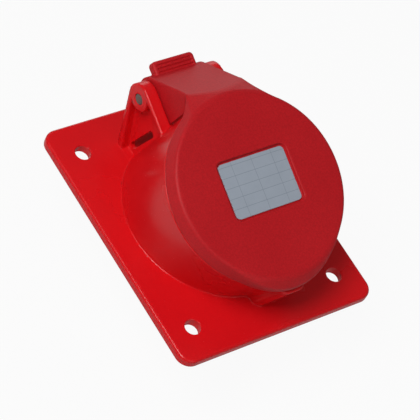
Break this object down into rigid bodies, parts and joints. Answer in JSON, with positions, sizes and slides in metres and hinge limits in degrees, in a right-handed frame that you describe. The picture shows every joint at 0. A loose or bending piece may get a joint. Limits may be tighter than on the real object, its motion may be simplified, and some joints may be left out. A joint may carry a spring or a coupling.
{
  "type": "panel socket-outlet",
  "caption": "Angled industrial panel socket with square flange, tapered collar and a sprung hinged lid over pin contacts.",
  "frame": {"origin": "centre of the flange's back face, in the plane that lies against the panel", "axes": "+Z out of the panel, +Y from the flange's centre towards the lid's hinge, +X along the hinge pin"},
  "size_m": [0.0804, 0.0966, 0.0756],
  "materials": {
    "red_moulding": "gloss",
    "red_lid_moulding": "satin",
    "label": "satin",
    "seal_rubber": "matte",
    "insert_moulding": "satin",
    "contact_brass": "satin",
    "clip_steel": "satin",
    "screw_steel": "satin",
    "pin_steel": "matte"
  },
  "bodies": {
    "housing": {"flange_housing": "red_moulding", "panel_gasket": "seal_rubber", "contact_carrier": "insert_moulding", "terminal_block": "insert_moulding", "sleeve_earth": "contact_brass", "sleeve_l1": "contact_brass", "sleeve_l2": "contact_brass", "sleeve_l3": "contact_brass", "sleeve_n": "contact_brass", "clip_earth": "clip_steel", "clip_l1": "clip_steel", "clip_l2": "clip_steel", "clip_l3": "clip_steel", "clip_n": "clip_steel", "terminal_screws": "screw_steel", "insert_screws": "screw_steel", "hinge_pin": "pin_steel", "lid_spring": "clip_steel"},
    "lid": {"lid": "red_lid_moulding", "lid_seal": "seal_rubber", "label_plate": "label"}
  },
  "joints": [
    {"name": "lid_hinge", "type": "hinge", "parent": "housing", "child": "lid", "pos_m": [0, 0.03661, 0.02746], "axis": [-1, 0, 0], "range_deg": [0, 110], "stiffness_Nm_per_rad": 0.05, "springref_deg": -57.3, "deforming": ["lid_spring"]}
  ]
}
